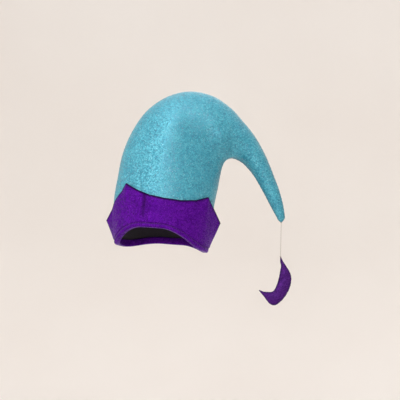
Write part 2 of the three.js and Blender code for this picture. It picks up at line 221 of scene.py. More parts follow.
# How finely the meshes are made: rings to a row of a table, sides, and rings or steps of a round part
CROWN_STEPS = 14
HOLLOW_STEPS = 7
QUARTER_SIDES = 42
CROWN_TIP_RINGS = 12
SEAM_TURNS = (90, 270)
SEAM_CROWDING = 1.6
CUFF_RING_DEGREES = 1.5
HEM_STEPS = 15
WALL_STEPS = 26
INNER_STEPS = 13
FREE_EDGE_STEPS = 8
LIP_STEPS = 3
BEAD_STEPS = 4
LIP_BACK_STEPS = 6
FOLD_STEPS = 5
CRESCENT_STEPS = 11
CRESCENT_SIDES = 48
CRESCENT_TIP_RINGS = 10
CRESCENT_TIP_CROWDING = 1.5
UPPER_TIP_ROUND = 0.5
LOWER_TIP_ROUND = 0.62
PLAIN_CRESCENT_STEPS = 2
PLAIN_CRESCENT_SIDES = 12

# The relief of the cloth is in millimetres. Waves have a height, a size and a seed. Humps have a height,
# a place off a line and a width. Shadows of a seam are painted shade along it, each with a darkness from
# 0 to 1 and a width.
NOISE_SHIFT = (3.17, 1.31, 7.7)
CROWN_BROAD_WAVES = [(1.15, 70, 1)]
CROWN_FINE_WAVES = [(0.42, 24, 2), (0.16, 9, 3)]
HOLLOW_WAVES = [(0.3, 20, 5)]
CUFF_BROAD_WAVES = [(0.75, 50, 12), (0.3, 18, 13)]
CUFF_FINE_WAVES = [(0.12, 7, 14)]
CRESCENT_WAVES = [(0.35, 18, 22), (0.1, 6, 23)]
CROWN_SEAM_HUMPS = [(-1.25, 0, 2.1), (0.5, 4.5, 2.6)]
CROWN_SEAM_SHADOWS = [(0.85, 3), (0.32, 9)]
CRESCENT_SEAM_HUMPS = [(-0.7, 0, 1.3)]
CRESCENT_SEAM_SHADOWS = [(0.85, 1.5), (0.6, 4.5)]
# The crescent's two tips get painted shade as well
CRESCENT_TIP_SHADOW = 0.5
# Beside a seam the crown's folds and broad waves are held back
SEAM_CALM = 7
# Heights between which the crown's relief sets in, and its limit below them, clear of the cuff. The
# horn hangs as low, and has its relief from between two distances to the side
RELIEF_FROM = (90, 135)
LOW_RELIEF = 0.3
HORN_FROM = (130, 150)
# The cuff's hem: its roll, the stitched groove with painted shade in it, and the welt above the groove
GROOVE_UP = 8.5
GROOVE_WIDE = 1.5
GROOVE_SHADOW = 0.5
HEM_HUMPS = [(0.7, 3.5, 3.4), (-1.2, GROOVE_UP, GROOVE_WIDE), (0.35, GROOVE_UP + 4, 2.2)]
# The cuff's seams at the two sides, with painted shade in their grooves. The left one is where the turns
# both begin and end
CORNER_TURNS = (-90, 90, 270)
CORNER_HUMPS = [(-0.8, 0, 1.6)]
CORNER_SHADOWS = [(0.75, 0, 1.6)]
# The join at the cuff's front, with painted shade in it: how far it leans between two heights, and where
# it sets in
JOIN_TURN = -21
JOIN_LEAN = 4
JOIN_LEAN_FROM = (10, 60)
JOIN_FROM = (6, 46)
JOIN_HUMPS = [(-2.2, 0, 3), (-0.6, 0, 7), (1.0, 10, 6)]
JOIN_SHADOWS = [(0.5, 0, 3), (0.22, 0, 7)]
# The cuff's front stands out a little beside its join, wide in degrees and high in millimetres
BELLY_RISE = 1.3
BELLY_TURN = -8
BELLY_DEGREES = 12
BELLY_UP = 42
BELLY_HIGH = 22
# A crease runs down from each peak of the cuff and leans to a side as it fades
CREASES = [(-42, 8), (54, -8), (126, 8), (222, -8)]
CREASE_RISE = 0.8
CREASE_WIDE = 5
CREASE_LEAN_OVER = 60
CREASE_FADE = (5, 70)
# The broad waves set in above the hem, and all relief fades towards the free edge, which is darkened:
# partly its dark cut edge, partly a painted shadow of the gap behind it
CUFF_WAVES_FROM = (0, 20)
EDGE_FADE = (0.3, 2.2)
EDGE_SHADOW = 0.95
EDGE_SHADOW_FADE = (2.2, 6)
# The inner face just under the free edge is darkened the same way: dark cut edge and painted shadow
INNER_EDGE_SHADOW = 0.8
INNER_EDGE_WIDE = 3

# Puckers along a seam, in millimetres: how far apart, where beside the line, and how they wander
CROWN_PUCKERS, CUFF_PUCKERS, CRESCENT_PUCKERS = rows_of("rise every at wide wander size seed", [
    (0.28, 9, 0, 8, 2.2, 30, 4),
    (0.22, 7.2, GROOVE_UP, 6, 3, 30, 11),
    (0.12, 6.5, 3.5, 3.4, 2.5, 20, 21),
])

# The hem's stitches, and how much smaller or larger than that one may be
STITCH_SPACING = 3.9 * MM
STITCH_LENGTH = 3.0 * MM
STITCH_WIDTH = 0.75 * MM
STITCH_SEED = 7
STITCH_LEAST = (0.88, 0.85, 0.85)
STITCH_MOST = (1.08, 1.12, 1.12)
STITCH_SEGMENTS = 8
STITCH_RINGS = 6

# The knots at the thread's two ends
KNOT_RADIUS = 1.5 * MM
KNOT_STRAND = 0.9 * MM
KNOT_FLATNESS = 0.55
KNOT_SUNK = Vector((0, 0, 0.2 * MM))
KNOT_LEAN = Vector((0.2, 0.1, 1))
KNOT_RINGS = 72
KNOT_SIDES = 8

# The crescent's stuffing: how thin the slack skin starts, how far a point may be pressed out, and how
# much of that sideways. It is done on an enlarged copy, because small cloth is too light to settle well
SLACK_THICKNESS = 0.72
STUFFING_SCALE = 4
STUFFING_FRAMES = 20
STUFFING_REACH = 2.8 * MM
SIDEWAYS_SHARE = 0.3
STUFFING = {
    "quality": 6,
    "mass": 0.3,
    "tension_stiffness": 12,
    "compression_stiffness": 12,
    "shear_stiffness": 4,
    "bending_stiffness": 0.4,
    "shrink_min": -0.04,
    "use_pressure": True,
    "uniform_pressure_force": 5,
    "vertex_group_mass": "sewn",
}

# Glitter cloth: what each scale of its pattern adds to the tone, and the tones of its three shades
FLAKE_TONE = 0.42
CLUMP_TONE = 0.3
PATCH_TONE = 0.2
LEAST_TONE = 0.04
SHADES_AT = (0.12, 0.5, 0.86)
PATCH_SIZE = 35 * MM
CLUMP_SHIFT = (0.37, 0.11, 0.53)
# Painted glints: of the flakes' random numbers only the highest get the near-white glint colour: gain
# times the number, less the offset
SPARK_GAIN = 14
SPARK_OFFSET = 13.1
# Broad areas where the middle shade veils the others
VEIL_SIZE = 60 * MM
VEIL_SHIFT = (1.7, 0.3, 0.9)
VEIL_GAIN = 2.4
VEIL_OFFSET = 1.1
VEIL_SHARE = 0.08
# Flakes shine like metal, but not under the painted shade of seams and edges; clumps lean less than
# flakes do
FLAKE_METAL = 0.3
SHADOW_METAL = 0.8
CLUMP_LEAN = 0.65
GLITTER_ROUGHNESS = 0.28
CLUMP_ROUGHNESS = 0.2
SHADOW_ROUGHNESS = 0.2
WEAVE_SIZE = 1.6 * MM
WEAVE_BUMP = (0.25, 0.4 * MM)
MIDDLE_GREY = (0.5, 0.5, 0.5)

# The knitted backing: the size of a loop and of its fuzz, and what each adds to the tone
LOOP_WIDTH = 2.1 * MM
LOOP_HEIGHT = 1.6 * MM
KNIT_FUZZ_SIZE = 1.2 * MM
KNIT_TONE = 0.25
KNIT_FUZZ_TONE = 0.8
KNIT_SHADES_AT = (0.15, 0.9)
KNIT_BUMP = (0.5, 0.4 * MM)

# Sewing thread: how steeply its strands wind, the size of its fuzz, and what each adds to the tone
STRAND_SLANT = 0.8
THREAD_FUZZ_SIZE = 0.4 * MM
TWIST_TONE = 0.32
THREAD_FUZZ_TONE = 0.5
LEAST_THREAD_TONE = 0.25
THREAD_SHADES_AT = (0.1, 0.9)
THREAD_BUMP = (0.6, 0.2 * MM)

# Plaster: clouds and grains to a metre
PLASTER_CLOUDS = 1.2
PLASTER_GRAINS = 90
PLASTER_CLOUD_TONE = 0.8
PLASTER_SHADES_AT = (0.2, 0.8)
PLASTER_BUMP = (0.08, 1 * MM)


def smooth(values, u):
    """The value at place u on a smooth curve through the values."""
    last = len(values) - 1
    i = max(0, min(int(math.floor(u)), last - 1))
    before = 2 * values[0] - values[1] if i == 0 else values[i - 1]
    after = 2 * values[last] - values[last - 1] if i + 2 > last else values[i + 2]
    here, then = values[i], values[i + 1]
    t = u - i
    bend = 2 * before - 5 * here + 4 * then - after + t * (3 * (here - then) + after - before)
    return here + 0.5 * t * (then - before + t * bend)


def ramped(value, low, high):
    """0 up to low, 1 from high on, and a smooth rise between them."""
    t = np.clip((value - low) / (high - low), 0, 1)
    return t * t * (3 - 2 * t)


def mixed(a, b, share):
    return a + (b - a) * share


def hump(away, wide):
    """1 on a line, falling softly with the distance from it, to about a third at the width."""
    return np.exp(-((away / wide) ** 2))


def humps(away, rows):
    """Humps and hollows side by side, by their height, place and width."""
    return sum(height * hump(away - at, wide) for height, at, wide in rows)


# Camera and lights


def placed(name, data):
    """A new object of the scene with a mesh, a curve, a lamp or a camera in it."""
    piece = bpy.data.objects.new(name, data)
    bpy.context.collection.objects.link(piece)
    return piece


def aimed(place, aim, roll=0):
    """The place and turn of a camera or lamp that looks from place to aim."""
    place = Vector(place)
    look = (Vector(aim) - place).to_track_quat("-Z", "Y").to_matrix().to_4x4()
    return Matrix.Translation(place) @ look @ Matrix.Rotation(roll, 4, "Z")


def make_camera():
    data = bpy.data.cameras.new("camera")
    data.sensor_width = SENSOR
    data.lens = SENSOR * LENS_PIXELS / PICTURE_SIDE
    data.clip_start = SEEN_FROM
    data.clip_end = SEEN_TO
    data.dof.use_dof = False
    camera = placed("camera", data)
    camera.matrix_world = aimed(CAMERA_PLACE, CAMERA_AIM, CAMERA_ROLL)
    bpy.context.scene.camera = camera


def make_lamp(name, place, aim, width, height, power, tint, spread):
    data = bpy.data.lights.new(name, "AREA")
    data.shape = "RECTANGLE"
    data.size = width
    data.size_y = height
    data.spread = math.radians(spread)
    data.energy = power
    data.color = tint
    lamp = placed(name, data)
    lamp.matrix_world = aimed(place, aim)
    lamp.visible_camera = False


def make_light():
    for lamp in LAMPS:
        make_lamp(**lamp)
    world = bpy.data.worlds.new("room")
    world.use_nodes = True
    sky = world.node_tree.nodes["Background"]
    sky.inputs["Color"].default_value = SKY_TINT
    sky.inputs["Strength"].default_value = SKY_STRENGTH
    bpy.context.scene.world = world
    bpy.context.scene.view_settings.view_transform = "Standard"


# Materials


def set_stops(ramp, stops):
    while len(ramp.elements) < len(stops):
        ramp.elements.new(0.5)
    for element, (place, shade) in zip(ramp.elements, stops):
        element.position = place
        element.color = shade


def add_node(tree, kind, settings=None, values=None):
    """A node of a kind, with its settings first and then its sockets' values or links."""
    node = tree.nodes.new(kind)
    for name, value in (settings or {}).items():
        if name == "stops":
            set_stops(node.color_ramp, value)
        else:
            setattr(node, name, value)
    for key, value in (values or {}).items():
        if isinstance(value, bpy.types.NodeSocket):
            tree.links.new(value, node.inputs[key])
        else:
            node.inputs[key].default_value = value
    return node


class Reading:
    """A socket that gives a value for each point, with the sums that it takes part in."""

    def __init__(self, finish, socket):
        self.finish = finish
        self.socket = socket

    def number(self, operation, *others, clamp=False):
        settings = {"operation": operation, "use_clamp": clamp}
        return self.finish.add("ShaderNodeMath", settings, dict(enumerate((self, *others))))

    def __add__(self, other):
        return self.number("ADD", other)

    def __sub__(self, other):
        return self.number("SUBTRACT", other)

    def __rsub__(self, other):
        return self.number("MULTIPLY", -1) + other

    def __mul__(self, other):
        return self.number("MULTIPLY", other)

    __radd__ = __add__
    __rmul__ = __mul__

    def sine(self):
        return self.number("SINE")

    def held(self):
        """The value held between 0 and 1."""
        return self.number("ADD", 0, clamp=True)

    def vector(self, operation, other=None, socket=1):
        values = {0: self} if other is None else {0: self, socket: other}
        return self.finish.add("ShaderNodeVectorMath", {"operation": operation}, values)


class Finish:
    """One material, built a node at a time."""

    def __init__(self, name):
        self.material = bpy.data.materials.new(name)
        self.material.use_nodes = True
        self.tree = self.material.node_tree
        self.tree.nodes.clear()

    def add(self, kind, settings=None, values=None, out=0):
        """The reading of a new node, whose sockets take values or other readings."""
        sockets = {}
        for key, value in (values or {}).items():
            sockets[key] = value.socket if isinstance(value, Reading) else value
        return Reading(self, add_node(self.tree, kind, settings, sockets).outputs[out])

    def place(self):
        """Where a point lies on the piece, in metres."""
        return self.add("ShaderNodeTexCoord", out="Object")

    def mark(self, name):
        """A value stored on the piece's points, such as the painted shade along its seams and edges."""
        return self.add("ShaderNodeAttribute", {"attribute_name": name}, out="Fac")

    def axis(self, place, which):
        return self.add("ShaderNodeSeparateXYZ", {}, {0: place}, out=which)

    def channel(self, colour, which):
        return self.add("ShaderNodeSeparateColor", {}, {0: colour}, out=which)

    def blend(self, share, first, second):
        """Two colours mixed by a share."""
        return self.add("ShaderNodeMix", {"data_type": "RGBA"}, {0: share, 6: first, 7: second}, out=2)

    def ramp(self, value, places, shades):
        """The shade for a value, between shades that lie at places."""
        return self.add("ShaderNodeValToRGB", {"stops": list(zip(places, shades))}, {0: value})

    def clouds(self, place, per_metre, detail):
        values = {"Vector": place, "Scale": per_metre, "Detail": detail, "Roughness": 0.5}
        return self.add("ShaderNodeTexNoise", {}, values)

    def flakes(self, place, size):
        """A random colour for each small cell."""
        values = {"Vector": place, "Scale": 1 / size, "Randomness": 1}
        return self.add("ShaderNodeTexVoronoi", {"feature": "F1"}, values, out="Color")

    def bumped(self, height, strength, distance, **base):
        """The surface's direction as a height pattern tilts it."""
        values = {"Strength": strength, "Distance": distance, "Height": height, **base}
        return self.add("ShaderNodeBump", {}, values)

    def surfaced(self, values):
        """The finished material, with its surface's values."""
        surface = self.add("ShaderNodeBsdfPrincipled", {}, values)
        add_node(self.tree, "ShaderNodeOutputMaterial", {}, {"Surface": surface.socket})
        return self.material


def colours(*shades):
    """Colours as a screen gives them, 0 to 255, in the linear values that a material takes."""
    ready = []
    for shade in shades:
        parts = [((c / 255 + 0.055) / 1.055) ** 2.4 if c > 10 else c / 255 / 12.92 for c in shade]
        ready.append((*parts, 1))
    return ready


def tilted(finish, flakes, flake_lean, clumps, clump_lean):
    """The surface's own direction, turned at random from flake to flake and from clump to clump."""
    direction = finish.add("ShaderNodeNewGeometry", out="Normal")
    for cells, lean in ((flakes, flake_lean), (clumps, clump_lean)):
        turn = cells.vector("SUBTRACT", MIDDLE_GREY).vector("SCALE", lean, "Scale")
        direction = direction.vector("ADD", turn)
    return direction.vector("NORMALIZE")


def glitter(name, shades, painted_glint, shadow, flake, clump, metal, lean, gloss, painted_glint_share, edge):
    """Glitter cloth: flakes of three shades, brighter and duller clumps, painted glints on a few flakes,
    and dark seam lines with painted shade beside them.
    """
    finish = Finish(name)
    place = finish.place()
    dark, middle, bright, painted_glint, shadow = colours(*shades, painted_glint, shadow)
    flakes = finish.flakes(place, flake)
    clumps = finish.flakes(place.vector("ADD", CLUMP_SHIFT), clump)
    patches = finish.clouds(place, 1 / PATCH_SIZE, 2)
    flake_shade = finish.channel(flakes, 0)
    flake_chance = finish.channel(flakes, 1)
    clump_shade = finish.channel(clumps, 0)
    tone = flake_shade * FLAKE_TONE + clump_shade * CLUMP_TONE + patches * PATCH_TONE + LEAST_TONE
    body = finish.ramp(tone, SHADES_AT, (dark, middle, bright))
    # Painted glints: the few flakes with the highest chance are painted near white, as if they caught
    # the light
    lit = (flake_chance * SPARK_GAIN - SPARK_OFFSET).held()
    body = finish.blend(lit * painted_glint_share, body, painted_glint)
    veil = finish.clouds(place.vector("ADD", VEIL_SHIFT), 1 / VEIL_SIZE, 2)
    body = finish.blend((veil * VEIL_GAIN - VEIL_OFFSET).held() * VEIL_SHARE, body, middle)
    # The seam marking is painted shade: dark seam lines with shade painted beside them, and on the cuff
    # shade painted along its free edge and groove
    seam = finish.mark("seam")
    weave = finish.clouds(place, 1 / WEAVE_SIZE, 2)
    direction = tilted(finish, flakes, lean, clumps, lean * CLUMP_LEAN)
    return finish.surfaced(
        {
            "Base Color": finish.blend(seam, body, shadow),
            "Metallic": (flake_shade * FLAKE_METAL + metal) * (1 - seam * SHADOW_METAL),
            "Roughness": GLITTER_ROUGHNESS + clump_shade * CLUMP_ROUGHNESS + seam * SHADOW_ROUGHNESS,
            "Normal": finish.bumped(weave, *WEAVE_BUMP, Normal=direction),
            "Specular IOR Level": gloss,
            "Specular Tint": (*edge, 1),
        }
    )


def backing_cloth(name, *shades):
    """The dark knitted backing inside the hat: rows of loops under fuzz."""
    finish = Finish(name)
    place = finish.place()
    rows = (finish.axis(place, 2) * (FULL_TURN / LOOP_HEIGHT)).sine()
    loops = (finish.axis(place, 0) * (FULL_TURN / LOOP_WIDTH)).sine()
    fuzz = finish.clouds(place, 1 / KNIT_FUZZ_SIZE, 3)
    tone = rows * loops * KNIT_TONE + fuzz * KNIT_FUZZ_TONE
    return finish.surfaced(
        {
            "Base Color": finish.ramp(tone, KNIT_SHADES_AT, colours(*shades)),
            "Roughness": 0.86 + fuzz * 0.1,
            "Normal": finish.bumped(tone, *KNIT_BUMP),
            "Sheen Weight": 0.2,
        }
    )


def sewing_thread(name, *shades, middle, lay):
    """Twisted thread: light and dark slants that wind round it, one for each length of lay."""
    finish = Finish(name)
    shift = tuple(-c for c in middle)
    place = finish.add("ShaderNodeMapping", {}, {"Vector": finish.place(), "Location": shift})
    winding = FULL_TURN / lay
    along = finish.axis(place, 2) * winding
    across = finish.axis(place, 0) * (winding * STRAND_SLANT)
    fuzz = finish.clouds(place, 1 / THREAD_FUZZ_SIZE, 2)
    tone = (along + across).sine() * TWIST_TONE + fuzz * THREAD_FUZZ_TONE + LEAST_THREAD_TONE
    return finish.surfaced(
        {
            "Base Color": finish.ramp(tone, THREAD_SHADES_AT, colours(*shades)),
            "Roughness": 0.55 + fuzz * 0.2,
            "Normal": finish.bumped(tone, *THREAD_BUMP),
            "Sheen Weight": 0.25,
        }
    )


def plaster(name, *shades):
    """The pale seamless floor and wall."""
    finish = Finish(name)
    place = finish.place()
    broad = finish.clouds(place, PLASTER_CLOUDS, 2)
    fine = finish.clouds(place, PLASTER_GRAINS, 3)
    tone = broad * PLASTER_CLOUD_TONE + fine * (1 - PLASTER_CLOUD_TONE)
    return finish.surfaced(
        {
            "Base Color": finish.ramp(tone, PLASTER_SHADES_AT, colours(*shades)),
            "Roughness": 0.88 + fine * 0.1,
            "Normal": finish.bumped(fine, *PLASTER_BUMP),
            "Specular IOR Level": 0.1,
        }
    )


# Mesh work


def new_piece(name, points, faces, materials, of_face=None):
    """An object at the origin with its shape in its mesh, smooth all over."""
    mesh = bpy.data.meshes.new(name)
    mesh.from_pydata([tuple(float(c) for c in p) for p in points], [], faces)
    for material in materials:
        mesh.materials.append(material)
    if of_face is not None:
        mesh.polygons.foreach_set("material_index", of_face)
    mesh.polygons.foreach_set("use_smooth", [True] * len(mesh.polygons))
    mesh.update()
    return placed(name, mesh)


def mark_points(piece, name, values):
    layer = piece.data.attributes.new(name, "FLOAT", "POINT")
    layer.data.foreach_set("value", [float(v) for v in values])


def ring_faces(rings, sides, close=False):
    """Faces between rings of equal length, which wind so that they look outwards."""
    faces = []
    for i in range(rings if close else rings - 1):
        low, high = i * sides, ((i + 1) % rings) * sides
        for k in range(sides):
            after = (k + 1) % sides
            faces.append((low + k, low + after, high + after, high + k))
    return faces


def closed_faces(rings, sides):
    """The same with both ends closed. The first end's point and then the last one's follow the rings."""
    faces = ring_faces(rings, sides)
    first = rings * sides
    top = first - sides
    for k in range(sides):
        after = (k + 1) % sides
        faces.append((first, after, k))
        faces.append((first + 1, top + k, top + after))
    return faces


def grid_normals(grid):
    """The outward direction at each point of a grid of rings, each ring closed."""
    along = np.empty_like(grid)
    along[1:-1] = grid[2:] - grid[:-2]
    along[0] = grid[1] - grid[0]
    along[-1] = grid[-1] - grid[-2]
    around = np.roll(grid, -1, 1) - np.roll(grid, 1, 1)
    normal = np.cross(around, along)
    length = np.linalg.norm(normal, axis=2, keepdims=True)
    return normal / np.maximum(length, NO_LENGTH)


def raised(grid, relief):
    """The grid with its points moved out by a relief in millimetres."""
    return grid + grid_normals(grid) * (relief * MM)[..., None]


def unevenness(points, size, seed):
    """Soft random heights from -1 to 1 over points, with features of a size in millimetres."""
    shift = Vector([seed * step for step in NOISE_SHIFT])
    flat = points.reshape(-1, 3)
    values = [noise.noise(Vector(p) / (size * MM) + shift) for p in flat.tolist()]
    return np.array(values).reshape(points.shape[:-1])


def waves(points, rows):
    """Soft unevenness of several sizes, by their height, size and seed."""
    return sum(height * unevenness(points, size, seed) for height, size, seed in rows)


def puckers(points, along, away, rise, every, at, wide, wander, size, seed):
    """Small gathers along a line of sewing, each a little longer or shorter than the next."""
    gathers = np.sin(along / every * FULL_TURN + wander * unevenness(points, size, seed))
    return rise * gathers * hump(away - at, wide)


def from_seams(grid, seams):
    """How far each point is from the nearest seam, and how far along that seam, in millimetres.
    A seam runs through the points of one number in all rings."""
    near, along = np.full(grid.shape[:2], np.inf), np.zeros(grid.shape[:2])
    for k in seams:
        line = grid[:, k : k + 1]
        away = np.linalg.norm(grid - line, axis=2)
        steps = np.linalg.norm(np.diff(line[:, 0], axis=0), axis=1)
        run = np.concatenate([[0], np.cumsum(steps)])
        closer = away < near
        near = np.where(closer, away, near)
        along = np.where(closer, run[:, None], along)
    return near / MM, along / MM


def seam_shadow(near, rows):
    """How dark the painted shade of a seam makes the points near it, the darkest of its shadows
    counting.
    """
    return np.maximum.reduce([darkness * hump(near, wide) for darkness, wide in rows])


def faded(rings, first, last):
    """1 for each ring, but falling to 0 over the first few and the last few."""
    fade = np.ones(rings)
    fade[:first] = np.linspace(0, 1, first)
    fade[rings - last :] = np.linspace(1, 0, last)
    return fade[:, None]


# The crown


def hem_height(turn):
    """Height of the hem at an angle round the head, in degrees from the front."""
    apart = abs((turn - ARCH_TURN + 180) % 360 - 180)
    front = 1 - ramped(apart, ARCH_FLAT, ARCH_SPAN)
    back = 1 - ramped(180 - apart, ARCH_FLAT, ARCH_SPAN)
    return FRONT_ARCH * front + BACK_ARCH * back - HEM_TILT * math.sin(math.radians(turn))


def row_at_height(height):
    return height / BEND_START * LEVEL_ROWS


def crown_section(u):
    """One section of the crown: its two edge points in X and Z, half its depth, and its pinch."""
    half = OPENING_WIDTH / 2
    get = {name: smooth(values, u) for name, values in CROWN.items()}
    out_height = get["outRise"] * CROWN_HEIGHT - get["outDrop"] * (CROWN_HEIGHT - TIP_HEIGHT)
    in_height = get["inRise"] * CROTCH_HEIGHT - get["inDrop"] * (CROTCH_HEIGHT - TIP_HEIGHT)
    if u < LEVEL_ROWS:
        out_height = in_height = u / LEVEL_ROWS * BEND_START
    outer = (get["outAcross"] * (HORN_REACH + half) - half, out_height)
    inner = (get["inAcross"] * (HORN_REACH - half) + half, in_height)
    pinch = 1 + SEAM_RIDGE * ramped(u, LEVEL_ROWS, 2 * LEVEL_ROWS)
    return outer, inner, get["deep"] * OPENING_DEPTH, pinch


def section_middle(u):
    (outer_x, outer_z), (inner_x, inner_z), _, _ = crown_section(u)
    return (outer_x + inner_x) / 2, 0, (outer_z + inner_z) / 2


def off_line(x, z, start, end):
    """Distance of a point from a stretch of line, in the upright plane."""
    (x0, z0), (x1, z1) = start, end
    run, rise = x1 - x0, z1 - z0
    share = np.clip(((x - x0) * run + (z - z0) * rise) / (run * run + rise * rise), 0, 1)
    return np.hypot(x - x0 - share * run, z - z0 - share * rise)


def dent_at(x, y, z):
    """How far a point of the crown's panel is pushed in by its dents."""
    sunk = 0
    for dent in CROWN_DENTS:
        start = (dent["fromAcross"] * HORN_REACH, dent["fromUp"] * CROWN_HEIGHT)
        end = (dent["toAcross"] * HORN_REACH, dent["toUp"] * CROWN_HEIGHT)
        share = 1 if y < 0 else dent["back"]
        depth = hump(off_line(x, z, start, end), dent["wide"] * CROWN_HEIGHT)
        sunk = max(sunk, share * dent["sunk"] * FOAM_WALL * depth)
    return sunk


def folds_over(points):
    """Height of the small folds at points of the crown, in millimetres."""
    x, z = points[..., 0] / MM, points[..., 2] / MM
    height = np.zeros(x.shape)
    for fold in CROWN_FOLDS:
        away = off_line(x, z, (fold["x0"], fold["z0"]), (fold["x1"], fold["z1"]))
        share = np.where(points[..., 1] < 0, fold["front"], fold["back"])
        height += share * fold["rise"] * hump(away, fold["wide"])
    return height


def crown_point(section, turn, inset):
    """A point of the crown's outer face, or of its inner face at an inset."""
    (outer_x, outer_z), (inner_x, inner_z), depth, pinch = section
    around = math.radians(turn)
    middle_x, middle_z = (outer_x + inner_x) / 2, (outer_z + inner_z) / 2
    half_width = math.hypot(inner_x - outer_x, inner_z - outer_z) / 2
    width = (half_width - inset) * math.sin(around) / half_width
    x = middle_x + (inner_x - outer_x) / 2 * width
    z = middle_z + (inner_z - outer_z) / 2 * width
    side = math.copysign(1, math.cos(around))
    rise = abs(math.cos(around)) ** pinch
    y = -(depth - inset) * side * rise
    y -= math.copysign(1, y) * dent_at(x, y, z) * min(1, rise * SEAM_HOLD)
    return x, y, z


def crown_turns():
    """Angles round the crown in degrees from the front, closer together near the two seams."""
    turns = {0, 180}
    for seam in SEAM_TURNS:
        for k in range(QUARTER_SIDES):
            away = 90 * (k / QUARTER_SIDES) ** SEAM_CROWDING
            turns |= {round(seam - away, 6), round(seam + away, 6)}
    return sorted(turns)


def crown_ring(u, turns, inset):
    """One ring of the crown. The lowest rings follow the hem, and those above them lie level."""
    if u >= LEVEL_ROWS:
        section = crown_section(u)
        return [crown_point(section, turn, inset) for turn in turns]
    ring = []
    for turn in turns:
        hem = row_at_height(hem_height(turn) + CUFF_WALL + SEAT_CLEARANCE)
        place = hem + (LEVEL_ROWS - hem) * (u / LEVEL_ROWS)
        ring.append(crown_point(crown_section(place), turn, inset))
    return ring


def horn_end():
    """Middle of the crown's last full section, and the direction in which the tip goes on."""
    outer, inner, _, _ = crown_section(CROWN_LAST)
    length = math.hypot(outer[0] - inner[0], outer[1] - inner[1])
    onward = Vector(((outer[1] - inner[1]) / length, 0, -(outer[0] - inner[0]) / length))
    return Vector(section_middle(CROWN_LAST)), onward


def tip_point():
    middle, onward = horn_end()
    return middle + onward * TIP_ROUND


def crown_skin(turns):
    """The rings of the crown's plain outer face, from the hem to the rounded tip."""
    rings = [crown_ring(i / CROWN_STEPS, turns, 0) for i in range(CROWN_LAST * CROWN_STEPS + 1)]
    middle, onward = horn_end()
    end_ring = [Vector(p) for p in rings[-1]]
    for i in range(1, CROWN_TIP_RINGS):
        angle = i / CROWN_TIP_RINGS * QUARTER_TURN
        size = math.cos(angle) * (1 - TIP_TAPER * math.sin(angle))
        ahead = middle + onward * (TIP_ROUND * math.sin(angle))
        rings.append([tuple(ahead + (p - middle) * size) for p in end_ring])
    return np.array(rings)


def crown_relief(skin, near, along):
    """How far the cloth stands out from the plain skin: folds, waves, puckers and sewn seams."""
    relief = (folds_over(skin) + waves(skin, CROWN_BROAD_WAVES)) * (1 - hump(near, SEAM_CALM))
    relief += waves(skin, CROWN_FINE_WAVES) + puckers(skin, along, near, **CROWN_PUCKERS)
    relief += humps(near, CROWN_SEAM_HUMPS)
    across, height = skin[..., 0] / MM, skin[..., 2] / MM
    relief = np.where(height < RELIEF_FROM[1], np.minimum(relief, LOW_RELIEF), relief)
    return relief * np.maximum(ramped(height, *RELIEF_FROM), ramped(across, *HORN_FROM))


def crown_hollow(turns):
    """The rings of the crown's inner face, from the hollow's end in the horn down to the hem."""
    steps = range(int(HOLLOW_END * HOLLOW_STEPS), -1, -1)
    rings = np.array([crown_ring(i / HOLLOW_STEPS, turns, FOAM_WALL) for i in steps])
    return raised(rings, waves(rings, HOLLOW_WAVES))


def make_crown(cloth, backing):
    turns = crown_turns()
    sides = len(turns)
    outside = crown_skin(turns)
    near, along = from_seams(outside, [turns.index(turn) for turn in SEAM_TURNS])
    fade = faded(len(outside), 0, CROWN_TIP_RINGS)
    outside = raised(outside, crown_relief(outside, near, along) * fade)
    inside = crown_hollow(turns)
    rings = len(inside) + len(outside)
    ends = [section_middle(HOLLOW_END), tip_point()]
    points = [*inside.reshape(-1, 3), *outside.reshape(-1, 3), *ends]
    faces = closed_faces(rings, sides)
    inner_faces = (len(inside) - 1) * sides
    of_face = [1] * inner_faces + [0] * (len(faces) - inner_faces)
    of_face[(rings - 1) * sides :: 2] = [1] * sides
    piece = new_piece("crown_cloth", points, faces, [cloth, backing], of_face)
    shadow = seam_shadow(near, CROWN_SEAM_SHADOWS) * fade
    mark_points(piece, "seam", [*[0] * inside[..., 0].size, *shadow.reshape(-1), 0, 0])
    return piece


# The cuff. Its finish tells the outer face and the inner one apart from the hem's fold and the lip

OUTER_FACE, INNER_FACE, UNDER_FACE = range(3)
DEGREE_LENGTH = OPENING_WIDTH / 2 * math.pi / 180 / MM


def outward(turn):
    around = math.radians(turn)
    return Vector((math.sin(around) / OPENING_WIDTH, -math.cos(around) / OPENING_DEPTH, 0)).normalized()


def beside_crown(turn, height, inset, off):
    """Point on the crown's outer or inner face at a height, pushed outwards by off."""
    x, y, _ = crown_point(crown_section(row_at_height(height)), turn, inset)
    return Vector((x, y, height)) + outward(turn) * off


def clear_of_crown(point):
    """The same point, moved out where it is nearer to the crown than the clearance."""
    (outer_x, _), (inner_x, _), depth, _ = crown_section(row_at_height(point.z))
    middle = (outer_x + inner_x) / 2
    half_width = abs(inner_x - middle) + CLEARANCE
    away = math.hypot((point.x - middle) / half_width, point.y / (depth + CLEARANCE))
    push = max(1, 1 / away)
    return Vector((middle + (point.x - middle) * push, point.y * push, point.z))


def cuff_edge(i, share):
    """Point of the cuff's free edge, on its inner face, at the share between row i and the next."""
    here, then = CUFF_ROWS[i], CUFF_ROWS[i + 1]

    def at(turn, top, flare):
        return beside_crown(turn, top * CUFF_PEAK, 0, CLEARANCE + flare * CUFF_FLARE)

    start, end = (at(row["turn"], row["top"], row["flare"]) for row in (here, then))
    curved = at(*(mixed(here[name], then[name], share) for name in ("turn", "top", "flare")))
    return curved.lerp(start.lerp(end, share), here["flat"])


